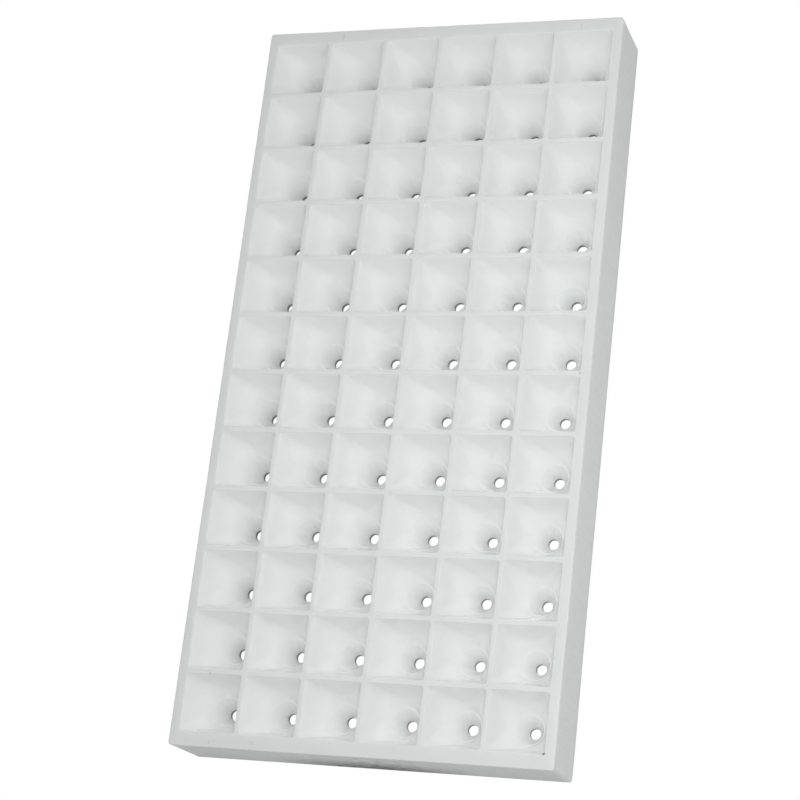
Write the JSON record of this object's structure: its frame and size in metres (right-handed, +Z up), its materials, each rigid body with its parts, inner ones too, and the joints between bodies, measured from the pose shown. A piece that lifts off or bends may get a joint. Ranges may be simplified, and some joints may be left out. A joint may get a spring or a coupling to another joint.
{
  "type": "plug tray",
  "caption": "Flat rectangular foam plug tray with a grid of square cells that taper to round drain holes, for raising seedlings.",
  "frame": {"origin": "centre of the underside", "axes": "+X across the tray, +Y along the tray towards the head, +Z up out of the cell mouths"},
  "size_m": [0.3366, 0.6668, 0.0615],
  "materials": {
    "foam": "steam-moulded expanded polystyrene bead foam, fine pebbled skin, dry"
  },
  "bodies": {
    "root": {"side_wall_left": "foam", "side_wall_right": "foam", "end_wall_head": "foam", "end_wall_foot": "foam", "long_rib_1": "foam", "long_rib_2": "foam", "long_rib_3": "foam", "long_rib_4": "foam", "long_rib_5": "foam", "cross_rib_01": "foam", "cross_rib_02": "foam", "cross_rib_03": "foam", "cross_rib_04": "foam", "cross_rib_05": "foam", "cross_rib_06": "foam", "cross_rib_07": "foam", "cross_rib_08": "foam", "cross_rib_09": "foam", "cross_rib_10": "foam", "cross_rib_11": "foam"}
  },
  "joints": []
}
